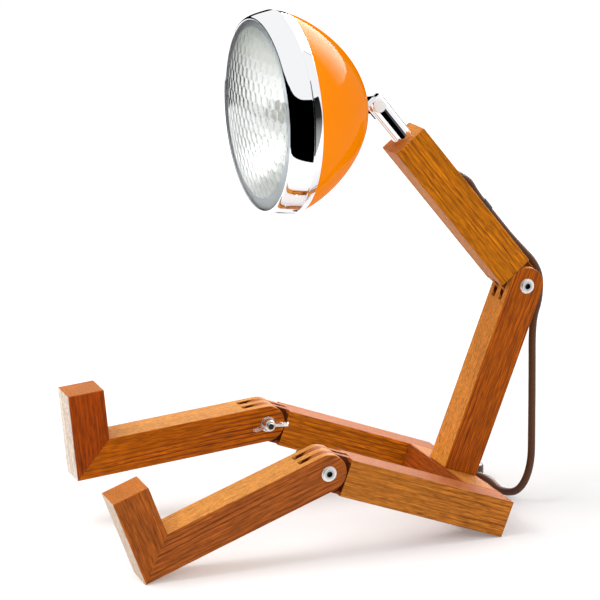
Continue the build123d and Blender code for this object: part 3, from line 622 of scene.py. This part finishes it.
def makeTie():
    # the outline round a group of circles: in each direction, the furthest circle's point, kept off the floor
    angle = np.linspace(0, 2 * pi, tie["steps"], endpoint=False)
    normal = np.stack([np.cos(angle), np.sin(angle)], axis=1)
    middles = np.array(tie["middles"], float)
    furthest = middles[np.argmax(normal @ middles.T, axis=1)]
    inner = furthest + normal * tie["radius"]
    outer = inner + normal * tie["wall"]
    half = tie["width"] / 2
    place = radians(90 + cord["heading"]) + 2 * pi * tie["turn"]
    away = np.array([cos(place), sin(place), 0])
    across = np.array([-sin(place), cos(place), 0])
    upward = np.array([0, 0, 1.0])
    corners = []
    for outline, shift in ((inner, -half), (outer, -half), (outer, half), (inner, half)):
        line = outline[:, :1] * away + np.maximum(outline[:, 1:], tie["floorGap"]) * upward
        corners.append((line + across * shift) * mm + np.array(coilCentre))
    piece = surfacePiece("coilTie", "hips", np.array(corners), closeRows=True)
    return piece


parts["tie"] = makeTie()
print("cord made")


# Timber: half its thickness, the edge where a side face's painted shading tone fades, and the limbs' pitches
# in degrees
timber = dict(half=0.01465, edge=0.0007, heelReach=0.14475,
              thigh=20.4, arm=50.5, torso=-69.6, leftShin=-20.28, rightShin=-5.3,
              dark=(0.15, 0.028, 0.005), shade=(0.10, 0.022, 0.004), rough=(0.42, 0.56))
# Each pattern has a scale, the share of it along the grain, detail and roughness.
grain = dict(figure=(84.0, 0.11, 3.0, 0.55), cloud=(55.0, 0.11, 2, 0.5), fibre=(800.0, 0.035, 3, 0.6),
             fleck=(1000.0, 0.35, 2, 0.5), dash=(1000.0, 0.10, 2, 0.5), pore=(1300.0, 0.07, 1, 0.5))
# What a pattern does to the tone: its effect at two levels of the pattern, and then those levels
effect = dict(fibre=(0.68, 1.32, 0.3, 0.7), fleck=(0.78, 1.22, 0.35, 0.65), cloud=(0.88, 1.12, 0.3, 0.7),
              pore=(0.0, 0.6, 0.60, 0.70))
# The figure's bands show where they and the cloud are high enough, and less off the side faces.
bands = dict(bend=7.0, bendScale=1.1, seen=(0.62, 0.97), comes=(0.38, 0.56), most=0.95, offSides=0.25)
# The painted shade between a hinge's fingers fades over a step or two, and at a reach in halves of the
# thickness.
fingers = dict(step=0.0002, reach=(1.30, 1.32))
golden, amber, russet = (0.62, 0.245, 0.040), (0.57, 0.205, 0.030), (0.345, 0.086, 0.012)


def heel(joint, pitch):
    # the middle of the heel, at a reach from the knee along the shin
    across, back, up = joints[joint]["pos_m"]
    a = radians(pitch)
    return across, back - timber["heelReach"] * cos(a), up + timber["heelReach"] * sin(a)


leftKnee, rightKnee, elbow = (joints[hinge]["pos_m"] for hinge in hinges)
leftHeel, rightHeel = heel("left_knee", timber["leftShin"]), heel("right_knee", timber["rightShin"])
leftToe, rightToe = timber["leftShin"] + 90, timber["rightShin"] + 90
hipsMiddle = (0.0, 0.113, 0.018)
# Each limb has a point on its middle line, the turn of its grain, its place in the patterns, the tones of its
# side faces and of its other faces, which are painted light and shade for how each face direction is lit, and
# the strength of its figure. A foot also has its sole's tone, a painted reflection that pales the sole, and
# the limbs with a hinge's fingers are hinged, with painted shade between the fingers.
limbs = {
    "upper_arm": dict(origin=elbow, pitch=timber["arm"], shift=(0.31, 0.2, 0.7),
                      sideShadingTone=(0.49, 0.146, 0.001), otherShadingTone=amber, figure=0.5, hinged=True),
    "torso": dict(origin=elbow, pitch=timber["torso"], shift=(0.77, 0.4, 0.12),
                  sideShadingTone=(0.39, 0.081, 0.001), otherShadingTone=(0.69, 0.247, 0.037), figure=0.8, hinged=True),
    "left_thigh": dict(origin=leftKnee, pitch=timber["thigh"], shift=(0.05, 0.9, 0.4),
                       sideShadingTone=(0.47, 0.154, 0.017), otherShadingTone=(0.37, 0.10, 0.018), figure=0.6,
                       hinged=True),
    "right_thigh": dict(origin=rightKnee, pitch=timber["thigh"], shift=(0.63, 0.1, 0.9),
                        sideShadingTone=(0.47, 0.127, 0.003), otherShadingTone=(0.38, 0.105, 0.02), figure=0.6,
                        hinged=True),
    "hip_block": dict(origin=hipsMiddle, pitch=timber["thigh"], spin=90, shift=(0.2, 0.6, 0.5),
                      sideShadingTone=(0.34, 0.067, 0.006), otherShadingTone=amber, figure=0.5),
    "left_shin": dict(origin=leftKnee, pitch=timber["leftShin"], shift=(0.44, 0.3, 0.8),
                      sideShadingTone=russet, otherShadingTone=golden, figure=0.9, hinged=True),
    "right_shin": dict(origin=rightKnee, pitch=timber["rightShin"], shift=(0.9, 0.8, 0.1),
                       sideShadingTone=(0.45, 0.103, 0.001), otherShadingTone=golden, figure=0.9, hinged=True),
    "left_foot": dict(origin=leftHeel, pitch=leftToe, shift=(0.13, 0.5, 0.6),
                      sideShadingTone=(0.34, 0.083, 0.009), otherShadingTone=(0.48, 0.145, 0.018), figure=0.5,
                      soleGlareTone=(0.74, 0.58, 0.45)),
    "right_foot": dict(origin=rightHeel, pitch=rightToe, shift=(0.58, 0.7, 0.3),
                       sideShadingTone=(0.34, 0.053, 0.001), otherShadingTone=(0.43, 0.128, 0.018), figure=0.9,
                       soleGlareTone=(0.77, 0.65, 0.54)),
    "hip_dowels": dict(origin=hipsMiddle, pitch=timber["thigh"], spin=90, shift=(0.1, 0.1, 0.1),
                       sideShadingTone=amber, otherShadingTone=amber, figure=0.2),
    "left_heel_key": dict(origin=leftHeel, pitch=leftToe, shift=(0.4, 0.1, 0.1),
                          sideShadingTone=amber, otherShadingTone=amber, figure=0.2),
    "right_heel_key": dict(origin=rightHeel, pitch=rightToe, shift=(0.4, 0.5, 0.1),
                           sideShadingTone=amber, otherShadingTone=amber, figure=0.2),
}


def grainTurn(pitch, spin):
    # the grain along Y is spun about Z for a cross piece, and then pitched about X
    return (Matrix.Rotation(-radians(pitch), 3, "X") @ Matrix.Rotation(radians(spin), 3, "Z")).to_euler()


def fingerShadeMask(finish, place, side):
    # 1 on the faces between a hinge's fingers, where shade is painted: inside the timber's outline, and off
    # the round ends
    half, step = timber["half"], fingers["step"]
    nearest, furthest = fingers["reach"]
    radius = finish.fromLine(place, "Y", "Z")
    within = finish.level(radius, 1.0, 0.0, half - 2 * step, half - step)
    beyond = finish.product(finish.level(radius, 0.0, 1.0, half + step, half + 2 * step),
                            finish.level(radius, 1.0, 0.0, nearest * half, furthest * half))
    upright = finish.maths("ABSOLUTE", finish.axes(place)["Z"])
    inside = finish.level(upright, 1.0, 0.0, half - 3 * step, half - step)
    return finish.product(finish.maths("ADD", within, beyond), inside, finish.level(side, 1.0, 0.0))


def grainNoise(finish, place, shift, kind):
    # noise drawn out along the grain
    scale, along, detail, rough = grain[kind]
    return finish.noise(finish.stretched(place, (1, along, 1), shift), scale, detail, rough)


def grainBands(finish, place, shift):
    # a stack of bent bands, drawn out along the grain
    scale, along, detail, rough = grain["figure"]
    sockets = {"Vector": finish.stretched(place, (1, along, 1), shift), "Scale": scale, "Detail": detail,
               "Distortion": bands["bend"], "Detail Scale": bands["bendScale"], "Detail Roughness": rough}
    return finish.add("TexWave", sockets, bands_direction="Z").outputs["Fac"]


def woodFinish(name, origin, pitch, shift, sideShadingTone, otherShadingTone, figure, spin=0, soleGlareTone=None, hinged=False):
    # tones by the faces' directions as painted light and shade, then the dark figure, then fibres, flecks,
    # clouds and pores over them
    finish = Finish(name + "Wood")
    place = finish.coordinates(origin, grainTurn(pitch, spin))
    half, edge = timber["half"], timber["edge"]
    fibre, fleck, dash, cloud, pore = (grainNoise(finish, place, shift, kind)
                                       for kind in ("fibre", "fleck", "dash", "cloud", "pore"))
    across = finish.maths("ABSOLUTE", finish.axes(place)["X"])
    side = finish.level(across, 0.0, 1.0, half - edge, half)
    # painted light and shade: the side faces take one tone and the other faces another, as each looks under
    # the lamps
    body = finish.mix(side, otherShadingTone, sideShadingTone)
    # painted reflection: the sole face is paled towards white, standing in for the glare of the bright floor
    # on it
    if soleGlareTone:
        under = finish.level(finish.axes(place)["Z"], 1.0, 0.0, -half, edge - half)
        body = finish.mix(under, body, soleGlareTone)
    lines = finish.level(grainBands(finish, place, shift), 0.0, figure, *bands["seen"])
    comes = finish.level(cloud, 0.0, 1.0, *bands["comes"])
    share = finish.product(lines, comes, finish.level(side, bands["offSides"], 1.0), bands["most"])
    body = finish.mix(share, body, timber["dark"])
    # painted shade on the faces between a hinge's fingers
    if hinged:
        body = finish.mix(fingerShadeMask(finish, place, side), body, timber["shade"])
    lined = finish.mix(side, (0.5, 0.5, 0.5), finish.grey(fibre))
    tone = finish.product(finish.level(lined, *effect["fibre"]),
                          finish.level(finish.between(side, fleck, dash), *effect["fleck"]),
                          finish.level(cloud, *effect["cloud"]))
    body = finish.mix(1.0, body, finish.grey(tone), "MULTIPLY")
    pits = finish.level(pore, *effect["pore"])
    body = finish.mix(pits, body, timber["dark"])
    finish.surface(Base_Color=body, Roughness=finish.level(fibre, *timber["rough"]), Specular_IOR_Level=0.1)
    finish.bump(finish.maths("SUBTRACT", fibre, pits), 0.0001, 0.5)
    return finish


for name, values in limbs.items():
    finishAll(woodFinish(name, **values), name)
print("timber finished")


def enamelFinish():
    # two close tones of orange in soft clouds, under a thin clear coat
    finish = Finish("orangeEnamel")
    place = finish.coordinates()
    cloud = finish.noise(place, 9, 2)
    finish.surface(Base_Color=finish.ramp(cloud, [(0.3, (1.0, 0.245, 0.0)), (0.7, (1.0, 0.265, 0.0))]),
                   Roughness=0.4, Specular_IOR_Level=0.0, Coat_Weight=0.13, Coat_Roughness=0.06)
    finish.bump(finish.noise(place, 420, 2), 0.00002, 0.2)
    return finish


def metalFinish(name, colour, rough, spread, scale, bump=0.0):
    # a plated metal whose gloss varies a little from place to place
    finish = Finish(name)
    place = finish.coordinates()
    gloss = finish.level(finish.noise(place, scale, 4), rough - spread, rough + spread)
    finish.surface(Base_Color=(*colour, 1), Metallic=1.0, Roughness=gloss)
    if bump:
        finish.bump(finish.noise(place, scale * 6, 3), bump, 0.5)
    return finish


# Tints by the distance from the middle, and painted shade by the height, from the bottom up, as shares of the
# opening
glass = dict(tints=[(0.45, (1.0, 1.0, 1.0)), (0.88, (0.90, 0.92, 0.89)), (0.905, (0.80, 0.84, 0.90))],
             paintedShadeTones=[(0.16, (0.60, 0.61, 0.59)), (0.34, (0.94, 0.94, 0.94)), (0.44, (1.0, 1.0, 1.0)),
                    (0.70, (1.0, 1.0, 1.0)), (0.82, (0.91, 0.92, 0.90))],
             rough=(0.10, 0.32), borderFrom=0.89, borderTo=0.91)


def glassFinish():
    # clear in the middle, faintly green where the cells end, bluish at the border, with painted shade making
    # it darker at the bottom and a little darker at the top
    finish = Finish("pressedGlass")
    place = finish.coordinates(tuple(headPivot))
    opening = head["opening"] * mm
    share = finish.level(finish.fromLine(place, "X", "Z"), 0.0, 1.0, 0.0, opening)
    high = finish.level(finish.axes(place)["Z"], 0.0, 1.0, -opening, opening)
    # painted shade: the tint is multiplied by tones that darken the glass towards the bottom and the top
    tint = finish.mix(1.0, finish.ramp(share, glass["tints"]), finish.ramp(high, glass["paintedShadeTones"]), "MULTIPLY")
    rough = finish.level(share, *glass["rough"], glass["borderFrom"], glass["borderTo"])
    finish.surface(Base_Color=tint, Roughness=rough, IOR=1.5, Transmission_Weight=1.0)
    finish.bump(finish.noise(finish.coordinates(), 60, 2), 0.00004, 0.4)
    return finish


def bulbFinish():
    # pale glass that lets part of the light through
    finish = Finish("frostedBulb")
    finish.surface(Base_Color=(0.97, 0.96, 0.93, 1), Roughness=0.35, Transmission_Weight=0.6)
    return finish


def mouldedFinish(name, colour, rough, scale=500, bump=0.00004):
    # a moulded or extruded skin: a fine grain in its height and its gloss, and slightly darker clouds
    finish = Finish(name)
    place = finish.coordinates()
    fine = finish.noise(place, scale, 3)
    low = tuple(0.82 * c for c in colour)
    finish.surface(Base_Color=finish.ramp(finish.noise(place, 25, 2), [(0.3, low), (0.7, colour)]),
                   Roughness=finish.level(fine, rough - 0.07, rough + 0.07))
    finish.bump(fine, bump, 0.5)
    return finish


# The bolt's tones run out from the joint's axis as shares of its radius; the black in the socket is painted
# shade.
bolt = dict(radius=0.006, paintedShadeTones=[(0.36, (0.05, 0.05, 0.05)), (0.42, (0.62, 0.62, 0.60)),
                                 (0.62, (0.70, 0.70, 0.68)), (0.68, (0.96, 0.96, 0.95))], rough=(0.36, 0.48))


def boltFinish(hinge):
    # bright satin plate, with painted shade, black, inside the socket on the joint's axis, and a grey ring
    # round it
    finish = Finish(hinge + "Bolt")
    place = finish.coordinates(tuple(joints[hinge]["pos_m"]))
    share = finish.level(finish.fromLine(place, "Y", "Z"), 0.0, 1.0, 0.0, bolt["radius"])
    gloss = finish.level(finish.noise(finish.coordinates(), 160, 4), *bolt["rough"])
    finish.surface(Base_Color=finish.ramp(share, bolt["paintedShadeTones"]), Metallic=1.0, Roughness=gloss)
    return finish


chrome = metalFinish("chromePlate", (0.90, 0.91, 0.93), 0.03, 0.015, 12)
zinc = metalFinish("zincPlate", (0.90, 0.90, 0.88), 0.26, 0.08, 160, 0.00002)
aluminium = metalFinish("brightAluminium", (0.95, 0.96, 0.96), 0.25, 0.04, 20)
spring = metalFinish("springWire", (0.42, 0.42, 0.43), 0.3, 0.06, 200)
brass = metalFinish("nickelledBrass", (0.80, 0.70, 0.48), 0.2, 0.05, 150)
rubber = mouldedFinish("blackRubber", (0.025, 0.025, 0.026), 0.6)
ceramic = mouldedFinish("paleCeramic", (0.80, 0.78, 0.72), 0.35)
whiteCap = mouldedFinish("whiteCap", (0.97, 0.97, 0.97), 0.3)
# the cord clip is a plain near-black glossy skin
nearBlackClip = mouldedFinish("nearBlackClipSkin", (0.03, 0.028, 0.026), 0.3)
cordSkin = mouldedFinish("cordSkin", (0.090, 0.028, 0.006), 0.62, 700, 0.00003)
plastic = mouldedFinish("brownPlastic", (0.085, 0.032, 0.014), 0.34, 900, 0.00003)

finishAll(enamelFinish(), parts["bowl"])
finishAll(chrome, parts["rim"], "neck_tube", "head_knuckle")
finishAll(glassFinish(), parts["lens"])
finishAll(aluminium, parts["dish"])
finishAll(rubber, "lens_gasket")
finishAll(spring, "retaining_ring")
finishAll(nearBlackClip, "cord_clip")
finishAll(ceramic, "lamp_holder")
finishAll(whiteCap, "head_pin")
finishAll(bulbFinish(), "bulb")
finishAll(cordSkin, parts["cord"])
finishAll(plastic, "switch_base", "switch_cover", "switch_rocker", "plug_body", parts["tie"])
finishAll(brass, "plug_pins")
finishAll(zinc, "torso_screw", "neck_grub_screw", "clip_screws", "head_washer", "head_nut", "switch_screws")
for hinge in hinges:
    finishAll(boltFinish(hinge), hinge + "_bolt")
    finishAll(zinc, hinge + "_washer", hinge + "_wing_nut")
print("finishes made")
